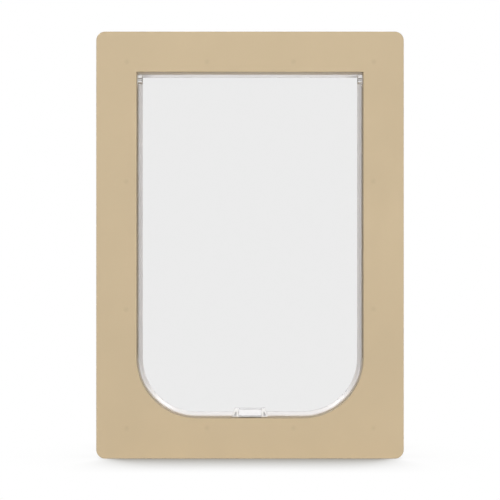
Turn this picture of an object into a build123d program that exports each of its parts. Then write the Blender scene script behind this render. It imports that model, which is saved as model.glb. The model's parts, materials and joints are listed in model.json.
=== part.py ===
"""Pet door: two moulded frames that clamp a door leaf, and a clear flap that swings both ways.

Millimetres. +Z is up and -Y faces outdoors. The origin is the centre of the opening, on the plane where the
outer frame's lip meets the outdoor face of the door leaf.
"""

import os
from math import hypot

from build123d import *

# Opening and flange, the same on both frames
opening_width = 258.0
opening_height = 394.0
sill_corner_radius = 68.0
flange_width = 46.0
flange_depth = 8.0
flange_corner_radius = 10.0
face_edge_radius = 0.8
mouth_edge_chamfer = 0.7
face_wall = 2.6
lip_wall = 2.6

# Tunnel of the outer frame, and the inner frame's sleeve that slides over it
door_thickness = 44.0
tunnel_wall = 2.6
tunnel_reach = 28.0
sleeve_wall = 2.4
sleeve_gap = 0.4
sleeve_overlap = 12.0

# Screw posts of the outer frame, which stand in the door's cut-out, and the gussets that brace them
post_offset = 11.3
post_radius = 4.4
post_row_pitch = 98.4
post_column_pitch = 146.0
post_reach = 30.0
gusset_thickness = 2.0
gusset_reach = 10.0

# Pan-head screws, driven from indoors. They repeat, so they and their pilot holes have flat sides
screw_radius = 2.1
screw_length = 38.0
screw_hole_clearance = 0.3
screw_head_radius = 4.0
screw_head_height = 2.2
screw_sides = 12
thread_bite = 0.4
pilot_spare_depth = 2.0

# Flap
flap_gap = 1.0
flap_top_gap = 1.6
flap_setback = 15.0
panel_thickness = 3.0
rim_width = 5.4
top_rim_width = 3.8
rim_thickness = 6.2
rim_crest_width = 1.9
top_rim_crest_width = 1.34
rim_edge_chamfer = 1.0

# Hinge: a headed pin pressed in each top corner of the flap, turning in a flanged bush
pivot_drop = 6.0
pin_radius = 1.75
pin_running_clearance = 0.05
pin_press_depth = 4.4
pin_head_radius = 3.0
pin_head_length = 1.2
pin_end_play = 0.3
knuckle_thickness = 9.2
knuckle_height = 12.0
knuckle_floor = 0.9
bush_wall = 1.2
bush_flange_radius = 5.5
bush_flange_thickness = 0.5
bush_boss_wall = 2.2
bush_boss_length = 4.4

# Magnet clip at the middle of the flap's bottom edge
magnet_length = 26.0
magnet_width = 5.6
magnet_height = 7.0
magnet_clearance = 0.2
clip_base_width = 41.0
clip_top_width = 34.6
clip_height = 9.6
clip_wall = 1.2
clip_floor = 1.0
clip_clearance = 0.15
clip_edge_chamfer = 0.4
clip_window_wall = 2.2
clip_window_margin = 1.6
clip_window_top = 0.5
clip_window_height = 5.0
clip_window_sill = 1.1

# Magnet let into the sill under the clip
sill_magnet_length = 26.0
sill_magnet_width = 7.0
sill_magnet_thickness = 3.0
sill_magnet_wall = 1.8
sill_magnet_clearance = 0.1

# Pile strips in the tunnel's side walls, beside the closed flap
pile_width = 5.0
pile_seat_depth = 1.0
pile_flap_clearance = 0.4
pile_end_gap = 3.0

# Depths of the frames, from outdoors to indoors
outer_face = -flange_depth
outer_back = outer_face + face_wall
inner_face = door_thickness + flange_depth
inner_back = inner_face - face_wall
sleeve_end = tunnel_reach - sleeve_overlap
sleeve_inside = tunnel_wall + sleeve_gap
screw_tip = inner_face - screw_length

# Edges of the opening, the flange and the flap
opening_half = opening_width / 2
opening_top = opening_height / 2
sill = -opening_top
flange_total_width = opening_width + 2 * flange_width
flange_total_height = opening_height + 2 * flange_width
flap_depth = outer_face + flap_setback
flap_half = opening_half - flap_gap
flap_top = opening_top - flap_top_gap
flap_bottom = sill + flap_gap

# Hinge sizes that follow from the pin
pivot_height = flap_top - pivot_drop
knuckle_length = pin_press_depth + knuckle_floor
bore_radius = pin_radius + pin_running_clearance
bush_radius = bore_radius + bush_wall
bush_boss_radius = bush_radius + bush_boss_wall
bush_end = opening_half + tunnel_wall + bush_boss_length
pin_head_start = bush_end + pin_end_play

# Clip and pile sizes that follow from the flap
clip_inside = rim_thickness + 2 * clip_clearance
clip_thickness = clip_inside + 2 * clip_wall
magnet_bottom = flap_bottom + clip_floor
magnet_top = magnet_bottom + magnet_height
clip_window_start = magnet_length / 2 + magnet_clearance + clip_window_wall
pile_bottom = sill + sill_corner_radius
pile_top = pivot_height - bush_flange_radius - pile_end_gap

# Screw posts: one in each corner, two along each row and two along each column
post_column = opening_half + post_offset
post_row = opening_top + post_offset
corner_posts = [(x * post_column, z * post_row) for x in (-1, 1) for z in (-1, 1)]
row_posts = [(x * post_row_pitch / 2, z * post_row) for x in (-1, 1) for z in (-1, 1)]
column_posts = [(x * post_column, z * post_column_pitch / 2) for x in (-1, 1) for z in (-1, 1)]
all_posts = corner_posts + row_posts + column_posts


def portal(grow, top_grow=None):
    """The opening's outline, square at the top and round at the sill, grown or shrunk all round."""
    height = opening_height + grow + (grow if top_grow is None else top_grow)
    with BuildSketch() as outline:
        with Locations((0, sill - grow)):
            Rectangle(opening_width + 2 * grow, height, align=(Align.CENTER, Align.MIN))
        fillet(outline.vertices().group_by(Axis.Y)[0], sill_corner_radius + grow)
    return outline.sketch


def flange(inset):
    """The flange's rounded outline, taken in from its edge."""
    with BuildSketch() as outline:
        RectangleRounded(
            flange_total_width - 2 * inset,
            flange_total_height - 2 * inset,
            flange_corner_radius - inset,
        )
    return outline.sketch


def gussets():
    """Bars that run from the tunnel to the middle of each post."""
    corner_reach = 2 * hypot(post_offset, sill_corner_radius)
    with BuildSketch() as outline:
        with GridLocations(post_row_pitch, 0, 2, 1):
            Rectangle(gusset_thickness, 2 * post_row)
        with GridLocations(0, post_column_pitch, 1, 2):
            Rectangle(2 * post_column, gusset_thickness)
        for x, z in corner_posts:
            with Locations((x, z)):
                Rectangle(corner_reach, gusset_thickness, rotation=45 if x * z > 0 else -45)
        Rectangle(2 * post_column, 2 * post_row, mode=Mode.INTERSECT)
    return outline.sketch


def clip_windows():
    """The four-sided openings near the clip's ends, which narrow upwards."""
    low = flap_bottom + clip_window_sill
    high = low + clip_window_height
    with BuildSketch() as outline:
        for side in (-1, 1):
            Polygon(
                (side * clip_window_start, low),
                (side * (clip_base_width / 2 - clip_window_margin), low),
                (side * (clip_window_start + clip_window_top), high),
                (side * clip_window_start, high),
                align=None,
            )
    return outline.sketch


def slab(outline, y_from, y_to, mode=Mode.ADD):
    """Extrude a front-view outline from one depth to another, in the part being built."""
    with BuildSketch(Plane.XZ.offset(-y_from)) as profile:
        add(outline)
    extrude(profile.sketch, amount=y_from - y_to, mode=mode)


def rod(radius, x_from, x_to, mode=Mode.ADD):
    """Extrude a disc along the hinge axis from one x to another, in the part being built."""
    with BuildSketch(Plane.YZ.offset(x_from)) as profile:
        with Locations((flap_depth, pivot_height)):
            Circle(radius)
    extrude(profile.sketch, amount=x_to - x_from, mode=mode)


def knuckle(x_from, x_to):
    """Extrude an upright oblong along the hinge axis from one x to another, in the part being built."""
    with BuildSketch(Plane.YZ.offset(x_from)) as profile:
        with Locations((flap_depth, pivot_height)):
            SlotOverall(knuckle_height, knuckle_thickness, rotation=90)
    extrude(profile.sketch, amount=x_to - x_from)


def rim_pocket(side):
    """Cut the hollow inside the flap's rim on one face, with walls that slope up to the rim's crest."""
    with BuildSketch(Plane.XZ.offset(-flap_depth - side * panel_thickness / 2)) as foot:
        add(portal(-flap_gap - rim_width, -flap_top_gap - top_rim_width))
    with BuildSketch(Plane.XZ.offset(-flap_depth - side * rim_thickness / 2)) as crest:
        add(portal(-flap_gap - rim_crest_width, -flap_top_gap - top_rim_crest_width))
    loft([foot.sketch, crest.sketch], ruled=True, mode=Mode.SUBTRACT)


def side_bar(x_from, x_to, mode=Mode.ADD):
    """Extrude a pile strip's upright outline from one x to another, in the part being built."""
    with BuildSketch(Plane.YZ.offset(x_from)) as profile:
        with Locations((flap_depth, (pile_bottom + pile_top) / 2)):
            Rectangle(pile_width, pile_top - pile_bottom)
    extrude(profile.sketch, amount=x_to - x_from, mode=mode)


def sill_block(length, width, z_from, z_to, mode=Mode.ADD):
    """Extrude a plan-view rectangle under the flap's middle from one height to another."""
    with BuildSketch(Plane.XY.offset(z_from)) as profile:
        with Locations((0, flap_depth)):
            Rectangle(length, width)
    extrude(profile.sketch, amount=z_to - z_from, mode=mode)


# Outer frame: flange, tunnel, screw posts, hinge bosses and magnet seat in one moulding
with BuildPart() as outer_frame:
    slab(flange(0), outer_face, 0)
    fillet(outer_frame.faces().sort_by(Axis.Y)[0].edges(), face_edge_radius)
    slab(flange(lip_wall), outer_back, 0, Mode.SUBTRACT)
    slab(gussets(), outer_back, gusset_reach)
    with BuildSketch(Plane.XZ.offset(-outer_back)):
        with Locations(*all_posts):
            Circle(post_radius)
    extrude(amount=outer_back - post_reach)
    slab(portal(tunnel_wall), outer_face, tunnel_reach)
    for side in (-1, 1):
        rod(bush_boss_radius, side * opening_half, side * bush_end)
    sill_block(
        sill_magnet_length + 2 * sill_magnet_wall,
        sill_magnet_width + 2 * sill_magnet_wall,
        sill,
        sill - sill_magnet_thickness - sill_magnet_wall,
    )
    slab(portal(0), outer_face, tunnel_reach, Mode.SUBTRACT)
    chamfer(outer_frame.faces().sort_by(Axis.Y)[0].inner_wires()[0].edges(), mouth_edge_chamfer)
    for side in (-1, 1):
        rod(bush_radius, side * opening_half, side * bush_end, Mode.SUBTRACT)
        side_bar(side * opening_half, side * (opening_half + pile_seat_depth), Mode.SUBTRACT)
    sill_block(
        sill_magnet_length + 2 * sill_magnet_clearance,
        sill_magnet_width + 2 * sill_magnet_clearance,
        sill,
        sill - sill_magnet_thickness,
        Mode.SUBTRACT,
    )
    with BuildSketch(Plane.XZ.offset(-post_reach)):
        with Locations(*all_posts):
            RegularPolygon(screw_radius - thread_bite, screw_sides)
    extrude(amount=post_reach - screw_tip + pilot_spare_depth, mode=Mode.SUBTRACT)
outer_frame.part.label = "outer_frame"

# Inner frame: flange with a hole for each screw, and the sleeve that slides over the tunnel
with BuildPart() as inner_frame:
    slab(flange(0), inner_face, door_thickness)
    fillet(inner_frame.faces().sort_by(Axis.Y)[-1].edges(), face_edge_radius)
    slab(flange(lip_wall), inner_back, door_thickness, Mode.SUBTRACT)
    slab(portal(sleeve_inside + sleeve_wall), inner_face, sleeve_end)
    slab(portal(sleeve_inside), inner_face, sleeve_end, Mode.SUBTRACT)
    chamfer(inner_frame.faces().sort_by(Axis.Y)[-1].inner_wires()[0].edges(), mouth_edge_chamfer)
    with BuildSketch(Plane.XZ.offset(-inner_face)):
        with Locations(*all_posts):
            Circle(screw_radius + screw_hole_clearance)
    extrude(amount=face_wall, mode=Mode.SUBTRACT)
inner_frame.part.label = "inner_frame"

# Frame screws: a head on the indoor face and a plain rod at each post
with BuildPart() as frame_screws:
    with BuildSketch(Plane.XZ.offset(-inner_face)):
        with Locations(*all_posts):
            RegularPolygon(screw_head_radius, screw_sides)
    extrude(amount=-screw_head_height)
    with BuildSketch(Plane.XZ.offset(-screw_tip)):
        with Locations(*all_posts):
            RegularPolygon(screw_radius, screw_sides)
    extrude(amount=-screw_length)
frame_screws.part.label = "frame_screws"

# Flap: clear panel with a thicker rim, a knuckle in each top corner and a notch for the magnet
with BuildPart() as flap_panel:
    slab(portal(-flap_gap, -flap_top_gap), flap_depth - rim_thickness / 2, flap_depth + rim_thickness / 2)
    chamfer(flap_panel.faces().filter_by(Axis.Y).edges(), rim_edge_chamfer)
    for side in (-1, 1):
        rim_pocket(side)
    for side in (-1, 1):
        knuckle(side * flap_half, side * (flap_half - knuckle_length))
        rod(pin_radius, side * flap_half, side * (flap_half - pin_press_depth), Mode.SUBTRACT)
    sill_block(
        clip_base_width + 2 * clip_clearance,
        rim_thickness,
        flap_bottom,
        magnet_bottom + clip_clearance,
        Mode.SUBTRACT,
    )
    sill_block(
        magnet_length + 2 * magnet_clearance,
        rim_thickness,
        flap_bottom,
        magnet_top + magnet_clearance,
        Mode.SUBTRACT,
    )
flap_panel.part.label = "flap_panel"

# Magnet clip: a clear saddle with sloping ends, pushed on from below to shut the magnet in
with BuildPart() as magnet_clip:
    with BuildSketch(Plane.XZ.offset(-flap_depth)):
        with BuildLine():
            Polyline(
                (-clip_base_width / 2, flap_bottom),
                (clip_base_width / 2, flap_bottom),
                (clip_top_width / 2, flap_bottom + clip_height),
                (-clip_top_width / 2, flap_bottom + clip_height),
                close=True,
            )
        make_face()
    extrude(amount=clip_thickness / 2, both=True)
    chamfer(magnet_clip.faces().filter_by(Axis.Y).edges(), clip_edge_chamfer)
    for side in (-1, 1):
        slab(
            clip_windows(),
            flap_depth + side * clip_inside / 2,
            flap_depth + side * clip_thickness / 2,
            Mode.SUBTRACT,
        )
    sill_block(
        clip_base_width,
        clip_inside,
        magnet_bottom,
        flap_bottom + rim_width + clip_clearance,
        Mode.SUBTRACT,
    )
    sill_block(
        clip_base_width,
        panel_thickness + 2 * clip_clearance,
        magnet_bottom,
        flap_bottom + clip_height,
        Mode.SUBTRACT,
    )
    sill_block(
        magnet_length + 2 * magnet_clearance,
        magnet_width + 2 * magnet_clearance,
        magnet_bottom,
        magnet_top + magnet_clearance,
        Mode.SUBTRACT,
    )
magnet_clip.part.label = "magnet_clip"

# Bar magnet inside the clip
with BuildPart() as flap_magnet:
    sill_block(magnet_length, magnet_width, magnet_bottom, magnet_top)
flap_magnet.part.label = "flap_magnet"

# Bar magnet flush with the sill
with BuildPart() as sill_magnet:
    sill_block(sill_magnet_length, sill_magnet_width, sill - sill_magnet_thickness, sill)
sill_magnet.part.label = "sill_magnet"

os.makedirs("parts", exist_ok=True)
export_step(outer_frame.part, "parts/outer_frame.step")
export_step(inner_frame.part, "parts/inner_frame.step")
export_step(frame_screws.part, "parts/frame_screws.step")
export_step(flap_panel.part, "parts/flap_panel.step")
export_step(magnet_clip.part, "parts/magnet_clip.step")
export_step(flap_magnet.part, "parts/flap_magnet.step")
export_step(sill_magnet.part, "parts/sill_magnet.step")

# The pieces that each side of the tunnel has: a bush, a pin that turns in it and a pile strip
for side, name in ((-1, "left"), (1, "right")):
    with BuildPart() as hinge_bush:
        rod(bush_radius, side * opening_half, side * bush_end)
        rod(bush_flange_radius, side * opening_half, side * (opening_half - bush_flange_thickness))
        rod(bore_radius, side * (opening_half - bush_flange_thickness), side * bush_end, Mode.SUBTRACT)
    hinge_bush.part.label = f"hinge_bush_{name}"
    export_step(hinge_bush.part, f"parts/hinge_bush_{name}.step")

    with BuildPart() as hinge_pin:
        rod(pin_radius, side * (flap_half - pin_press_depth), side * pin_head_start)
        rod(pin_head_radius, side * pin_head_start, side * (pin_head_start + pin_head_length))
    hinge_pin.part.label = f"hinge_pin_{name}"
    export_step(hinge_pin.part, f"parts/hinge_pin_{name}.step")

    with BuildPart() as pile_strip:
        side_bar(side * (opening_half + pile_seat_depth), side * (flap_half + pile_flap_clearance))
    pile_strip.part.label = f"pile_strip_{name}"
    export_step(pile_strip.part, f"parts/pile_strip_{name}.step")
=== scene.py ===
"""Pet door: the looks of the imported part, in a plain white studio.

Metres, in the part's own frame. +Z is up, -Y faces outdoors, and the origin is the centre of the opening, on
the plane where the outer frame's lip meets the door leaf.
"""

from __future__ import annotations

import json
import logging
import math
from abc import ABC, abstractmethod
from dataclasses import dataclass
from enum import Enum
from functools import partial, reduce
from typing import Any, Callable, Sequence

import bmesh
import bpy
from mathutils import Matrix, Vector

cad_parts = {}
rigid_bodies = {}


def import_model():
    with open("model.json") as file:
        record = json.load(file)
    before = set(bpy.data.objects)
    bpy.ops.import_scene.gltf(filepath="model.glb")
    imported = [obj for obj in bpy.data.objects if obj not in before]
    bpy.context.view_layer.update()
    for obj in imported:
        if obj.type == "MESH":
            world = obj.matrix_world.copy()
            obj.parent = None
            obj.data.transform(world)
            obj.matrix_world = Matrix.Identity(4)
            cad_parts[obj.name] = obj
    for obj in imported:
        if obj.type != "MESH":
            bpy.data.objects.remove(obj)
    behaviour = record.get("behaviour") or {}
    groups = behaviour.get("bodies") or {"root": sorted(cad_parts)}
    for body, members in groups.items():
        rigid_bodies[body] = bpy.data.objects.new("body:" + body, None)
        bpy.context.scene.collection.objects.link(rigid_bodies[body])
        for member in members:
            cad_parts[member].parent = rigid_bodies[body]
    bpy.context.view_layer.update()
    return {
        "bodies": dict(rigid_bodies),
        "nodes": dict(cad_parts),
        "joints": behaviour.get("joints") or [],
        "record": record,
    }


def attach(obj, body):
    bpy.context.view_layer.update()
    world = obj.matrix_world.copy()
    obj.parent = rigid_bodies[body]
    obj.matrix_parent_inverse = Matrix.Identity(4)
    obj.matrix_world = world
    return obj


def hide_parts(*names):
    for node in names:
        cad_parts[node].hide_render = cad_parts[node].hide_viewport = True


LOG = logging.getLogger("pet_door")
MM = 0.001
WHITE = (1.0, 1.0, 1.0)

Pair = tuple[float, float]
Triple = tuple[float, float, float]
Colour = Triple
Place = Callable[[float, float, float], Vector]
Feeds = dict[str | int, Any]
Material = bpy.types.Material
Piece = bpy.types.Object
Socket = bpy.types.NodeSocket


class Body(Enum):
    """The bodies that pieces ride on, as the part names them."""

    FRAME = "frame"
    FLAP = "flap"


class Side(Enum):
    """The two upright sides of the opening, as seen from outdoors."""

    LEFT = -1
    RIGHT = 1

    @property
    def word(self) -> str:
        """The side's name in lower case, as the part's nodes use it."""
        return self.name.lower()

    def placed(self, profile: Sequence[Pair]) -> list[Pair]:
        """A profile's distances from the middle of the door, taken to this side."""
        return [(self.value * across, reach) for across, reach in profile]


class FlapZone(Enum):
    """The flap's areas of unlike finish, numbered as its materials are."""

    PANEL = 0
    RIM = 1
    # The foot behind the clip is finished darker, as painted shade.
    FOOT = 2
    KNUCKLE = 3


class Change(Enum):
    """What a second solid does to a first one."""

    ADD = "UNION"
    CUT = "DIFFERENCE"


class Curve(Enum):
    """The ways in which a value goes from one end of a range to the other."""

    STRAIGHT = "LINEAR"
    SMOOTH = "SMOOTHSTEP"
    SMOOTHER = "SMOOTHERSTEP"


class Ray(Enum):
    """The kinds of ray that the studio looks white to."""

    CAMERA = "Is Camera Ray"
    GLOSSY = "Is Glossy Ray"
    TRANSMISSION = "Is Transmission Ray"


# Nodes


class NodeSheet:
    """A node tree with short calls for adding and joining nodes."""

    def __init__(self, tree: bpy.types.NodeTree) -> None:
        """Keep the shader, world or geometry tree that the calls add to."""
        self.tree = tree

    def feed(self, target: Socket, value: Any) -> None:
        """Join a socket to an input, or set the input to a plain value.

        Args:
            target: the input.
            value: an output socket or a plain value.
        """
        if isinstance(value, Socket):
            self.tree.links.new(value, target)
        else:
            target.default_value = value

    def add(self, kind: str, label: str = "", feeds: Feeds | None = None, **settings: Any) -> bpy.types.Node:
        """Add a node, set its properties and feed its inputs.

        Args:
            kind: the node's type name.
            label: what the node does, shown on it.
            feeds: a socket or a plain value for each input, named or numbered.
            settings: properties of the node, such as operation.

        Returns:
            The new node.
        """
        node = self.tree.nodes.new(kind)
        node.label = label
        for key, value in settings.items():
            setattr(node, key, value)
        for key, value in (feeds or {}).items():
            self.feed(node.inputs[key], value)
        return node

    def math(self, operation: str, first: Any, second: Any = 0.0) -> Socket:
        """The result of a Math node on one or two sockets or numbers."""
        return self.add("ShaderNodeMath", feeds={0: first, 1: second}, operation=operation).outputs[0]

    def fold(self, operation: str, values: Sequence[Socket]) -> Socket:
        """Some sockets taken together, one after another, by a Math operation."""
        return reduce(partial(self.math, operation), values)

    def vector(self, operation: str, label: str, feeds: Feeds) -> bpy.types.NodeOutputs:
        """The outputs of a Vector Math node."""
        return self.add("ShaderNodeVectorMath", label, feeds, operation=operation).outputs

    def xyz(self, **axes: Any) -> Socket:
        """A vector put together from some of its axes."""
        return self.add("ShaderNodeCombineXYZ", feeds=axes).outputs[0]

    def axes(self, vector: Socket) -> bpy.types.NodeOutputs:
        """The X, Y and Z outputs of a vector taken apart."""
        return self.add("ShaderNodeSeparateXYZ", feeds={0: vector}).outputs

    def where(self) -> Socket:
        """Object coordinates."""
        return self.add("ShaderNodeTexCoord").outputs["Object"]

    def noise(self, label: str, scale: float, detail: float = 2.0) -> Socket:
        """Noise from 0 to 1 on object coordinates, of a given scale and number of finer layers."""
        feeds = {"Vector": self.where(), "Scale": scale, "Detail": detail}
        return self.add("ShaderNodeTexNoise", label, feeds).outputs["Fac"]

    def remap(
        self, label: str, value: Socket, source: tuple[Any, Any], target: Pair, curve: Curve = Curve.STRAIGHT
    ) -> Socket:
        """Add a Map Range node.

        Args:
            label: what the result is.
            value: the socket to map.
            source: the ends of the range that it is mapped from.
            target: the values at those ends.
            curve: how the result goes from one to the other.

        Returns:
            The mapped value.
        """
        ends = zip(("From Min", "From Max", "To Min", "To Max"), (*source, *target))
        feeds = {"Value": value, **dict(ends)}
        return self.add("ShaderNodeMapRange", label, feeds, interpolation_type=curve.value).outputs["Result"]

    def bump(
        self, label: str, height: Socket, distance: float, strength: float = 1.0, under: Socket | None = None
    ) -> Socket:
        """Add a Bump node.

        Args:
            label: what the bump is.
            height: the socket that gives the height, from 0 to 1.
            distance: the depth between those heights.
            strength: the share of the bump that is used.
            under: the normal that it is laid over, where that isn't the surface's own.

        Returns:
            The bumped normal.
        """
        feeds = {"Height": height, "Distance": distance, "Strength": strength}
        if under:
            feeds["Normal"] = under
        return self.add("ShaderNodeBump", label, feeds).outputs["Normal"]

    def ramp(self, label: str, value: Socket, colours: Sequence[Colour], ends: Pair = (0.0, 1.0)) -> Socket:
        """Add a ramp between two colours.

        Args:
            label: what the ramp is.
            value: the socket that goes through it.
            colours: the colours at its ends.
            ends: the values at which they are reached.

        Returns:
            The colour.
        """
        node = self.add("ShaderNodeValToRGB", label, {"Fac": value})
        for element, colour, end in zip(node.color_ramp.elements, colours, ends):
            element.position = end
            element.color = (*colour, 1.0)
        return node.outputs["Color"]

    def any_ray(self, *rays: Ray) -> Socket:
        """A socket that is 1 for some kinds of ray and 0 for the rest."""
        path = self.add("ShaderNodeLightPath")
        return self.fold("MAXIMUM", [path.outputs[ray.value] for ray in rays])


class FinishSheet(NodeSheet):
    """The nodes of a new material with one Principled shader."""

    def __init__(self, name: str, **values: Any) -> None:
        """Make the material and set its shader's plain values.

        Args:
            name: the material's name.
            values: plain values for the shader, as drive takes them.
        """
        self.material = bpy.data.materials.new(name)
        self.material.use_nodes = True
        super().__init__(self.material.node_tree)
        self.shader = next(node for node in self.tree.nodes if node.type == "BSDF_PRINCIPLED")
        self.drive(**values)

    def drive(self, **values: Any) -> Material:
        """Set or join the shader's inputs.

        Args:
            values: numbers, colours or sockets, with underscores for the spaces in an input's name.

        Returns:
            The material.
        """
        for key, value in values.items():
            target = self.shader.inputs[key.replace("_", " ")]
            self.feed(target, (*value, 1.0) if isinstance(value, tuple) else value)
        return self.material


# Finishes


@dataclass(frozen=True)
class Finish(ABC):
    """What every finish has: a name for its material, a base colour and a roughness."""

    name: str
    colour: Colour
    roughness: float

    @abstractmethod
    def build(self) -> Material:
        """Make the material."""

    def sheet(self) -> FinishSheet:
        """The nodes of a new material with this colour and roughness."""
        return FinishSheet(self.name, Base_Color=self.colour, Roughness=self.roughness)

    def shades(self, share: float) -> list[Colour]:
        """The colour darkened and lightened by a share of itself."""
        return [tuple(min(1.0, part * (1 + sign * share)) for part in self.colour) for sign in (-1, 1)]


@dataclass(frozen=True)
class MouldedPlastic(Finish):
    """Satin moulded plastic with a fine grain, slightly uneven colour, and sink marks over thick places,
    bumped and darkened with painted shade.

    The sink marks are given for one quarter of the frame, which its other quarters mirror.
    """

    roughness: float = 0.46
    sink_points: tuple[Pair, ...] = ()
    unevenness: float = 0.025
    cloud_scale: float = 9.0
    cloud_detail: float = 3.0
    cloud_ends: Pair = (0.3, 0.7)
    grain_size: float = 0.55 * MM
    grain_depth: float = 0.008 * MM
    grain_strength: float = 0.5
    sink_radius: float = 5.0 * MM
    sink_depth: float = 0.16 * MM
    sink_spot: float = 4.6 * MM
    sink_shade: float = 0.93

    def build(self) -> Material:
        """Lay the clouds, the grain, and the sink marks with their painted shade.

        Returns:
            The material.
        """
        sheet = self.sheet()
        clouds = sheet.noise("Flow clouds", self.cloud_scale, self.cloud_detail)
        colour = sheet.ramp("Tint", clouds, self.shades(self.unevenness), self.cloud_ends)
        grain = sheet.noise("Mould grain", 1 / self.grain_size)
        normal = sheet.bump("Grain", grain, self.grain_depth, self.grain_strength)
        if self.sink_points:
            reach = self._post_reach(sheet)
            # Painted shade: the colour is darkened at each sink mark, standing in for the shading of its
            # shallow dish; the dish itself is a real bump.
            shade = sheet.remap("Spot", reach, (0.0, self.sink_spot), (self.sink_shade, 1.0), Curve.SMOOTH)
            colour = sheet.vector("SCALE", "Painted shade at sink marks", {0: colour, "Scale": shade})[0]
            dish = sheet.remap("Dish", reach, (0.0, self.sink_radius), (0.0, 1.0), Curve.SMOOTHER)
            normal = sheet.bump("Sink marks", dish, self.sink_depth, under=normal)
        return sheet.drive(Base_Color=colour, Normal=normal)

    def _post_reach(self, sheet: NodeSheet) -> Socket:
        """Measure the distance in the face to the nearest sink point or mirror image of one.

        Args:
            sheet: the material's nodes.

        Returns:
            The distance.
        """
        parts = sheet.axes(sheet.where())
        quarter = sheet.xyz(X=sheet.math("ABSOLUTE", parts["X"]), Z=sheet.math("ABSOLUTE", parts["Z"]))
        reaches = []
        for x, z in self.sink_points:
            reach = sheet.vector("DISTANCE", "Distance to a post", {0: quarter, 1: (x, 0.0, z)})
            reaches.append(reach["Value"])
        return sheet.fold("MINIMUM", reaches)


@dataclass(frozen=True)
class ClearPlastic(Finish):
    """Clear moulded plastic, whose faces wave very slightly where the melt flowed."""

    roughness: float = 0.02
    clearness: float = 1.0
    ior: float = 1.49
    wave_size: float = 30.0 * MM
    wave_depth: float = 0.06 * MM

    def build(self) -> Material:
        """Set the clearness and lay the waves.

        Returns:
            The material.
        """
        sheet = self.sheet()
        waves = sheet.noise("Flow waves", 1 / self.wave_size, detail=0.0)
        normal = sheet.bump("Waves", waves, self.wave_depth)
        return sheet.drive(IOR=self.ior, Transmission_Weight=self.clearness, Normal=normal)


@dataclass(frozen=True)
class FrostedRim(Finish):
    """Frosted clear plastic, clearer along the flap's upright sides than along its top and bottom, so that
    the sides render darker as painted shade.

    The crest of the upright sides is darkened in colour, as painted shade standing in for the tunnel's wall
    showing through it.
    """

    roughness: float = 0.17
    ior: float = 1.49
    end_clearness: float = 0.03
    side_clearness: float = 0.46
    side_span: Pair = (106.0 * MM, 126.0 * MM)
    crest_shade: float = 0.76
    crest_span: Pair = (124.8 * MM, 125.9 * MM)

    def build(self) -> Material:
        """Change the clearness and the colour with the distance from the middle of the door.

        Returns:
            The material.
        """
        sheet = self.sheet()
        across = sheet.math("ABSOLUTE", sheet.axes(sheet.where())["X"])
        # Painted shade: the upright sides are made clearer so that they render darker, and their crest is
        # darkened in colour.
        clearness = (self.end_clearness, self.side_clearness)
        clear = sheet.remap("Clearness", across, self.side_span, clearness, Curve.SMOOTH)
        shade = sheet.remap("Crest", across, self.crest_span, (1.0, self.crest_shade), Curve.SMOOTH)
        tint = sheet.vector("SCALE", "Painted shade on the crest", {0: self.colour, "Scale": shade})[0]
        return sheet.drive(IOR=self.ior, Transmission_Weight=clear, Base_Color=tint)


@dataclass(frozen=True)
class PlatedMetal(Finish):
    """Bright metal with fine turning or plating marks."""

    mark_size: float = 0.3 * MM
    mark_spread: Pair = (0.8, 1.3)

    def build(self) -> Material:
        """Vary the roughness with the marks.

        Returns:
            The material.
        """
        sheet = self.sheet()
        marks = sheet.noise("Plating marks", 1 / self.mark_size)
        ends = tuple(self.roughness * share for share in self.mark_spread)
        return sheet.drive(Metallic=1.0, Roughness=sheet.remap("Roughness", marks, (0.0, 1.0), ends))


@dataclass(frozen=True)
class GrainedSolid(Finish):
    """Plain plastic or pressed ceramic, with a fine grain in its colour and its surface."""

    speckle: float
    grain_size: float
    grain_depth: float

    def build(self) -> Material:
        """Lay the grain.

        Returns:
            The material.
        """
        sheet = self.sheet()
        grain = sheet.noise("Fine grain", 1 / self.grain_size)
        colour = sheet.ramp("Speckle", grain, self.shades(self.speckle))
        return sheet.drive(Base_Color=colour, Normal=sheet.bump("Grain", grain, self.grain_depth))


@dataclass(frozen=True)
class PileYarn(Finish):
    """Brushed yarn whose fibres differ a little in colour."""

    roughness: float = 0.9
    sheen: float = 0.3
    spread: float = 0.35
    fibre_scale: float = 900.0

    def build(self) -> Material:
        """Vary the colour from fibre to fibre.

        Returns:
            The material.
        """
        sheet = self.sheet()
        fibres = sheet.noise("Fibres", self.fibre_scale)
        colour = sheet.ramp("Yarn", fibres, self.shades(self.spread))
        return sheet.drive(Sheen_Weight=self.sheen, Base_Color=colour)


# Meshes


class MeshDraft:
    """Points and faces gathered for one piece."""

    def __init__(self) -> None:
        """Start empty."""
        self.points: list[Vector] = []
        self.faces: list[list[int]] = []

    def ring(self, points: Sequence[Vector]) -> list[int]:
        """Add the points of a closed ring.

        Args:
            points: the points, in order.

        Returns:
            The points' numbers.
        """
        start = len(self.points)
        self.points.extend(points)
        return list(range(start, len(self.points)))

    def bridge(self, rings: Sequence[list[int]]) -> None:
        """Join each of some like rings to the next with quads.

        Args:
            rings: the numbers of the rings' points.
        """
        for first, second in zip(rings, rings[1:]):
            for index, point in enumerate(first):
                after = (index + 1) % len(first)
                self.faces.append([point, first[after], second[after], second[index]])

    def skin(self, rings: Sequence[Sequence[Vector]], closed: bool = False) -> MeshDraft:
        """Add a solid whose skin runs from ring to ring.

        Args:
            rings: the points of like rings, in order.
            closed: whether the last ring joins the first one, instead of a face at each end.

        Returns:
            This draft.
        """
        numbers = [self.ring(points) for points in rings]
        if closed:
            self.bridge([*numbers, numbers[0]])
        else:
            self.bridge(numbers)
            self.faces += [numbers[0], numbers[-1]]
        return self

    def piece(self, name: str) -> Piece:
        """Make an object with its faces pointing outwards.

        Args:
            name: the object's name.

        Returns:
            The object.
        """
        mesh = bpy.data.meshes.new(name)
        mesh.from_pydata(self.points, [], self.faces)
        tidy_mesh(mesh)
        return place_object(name, mesh)


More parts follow.
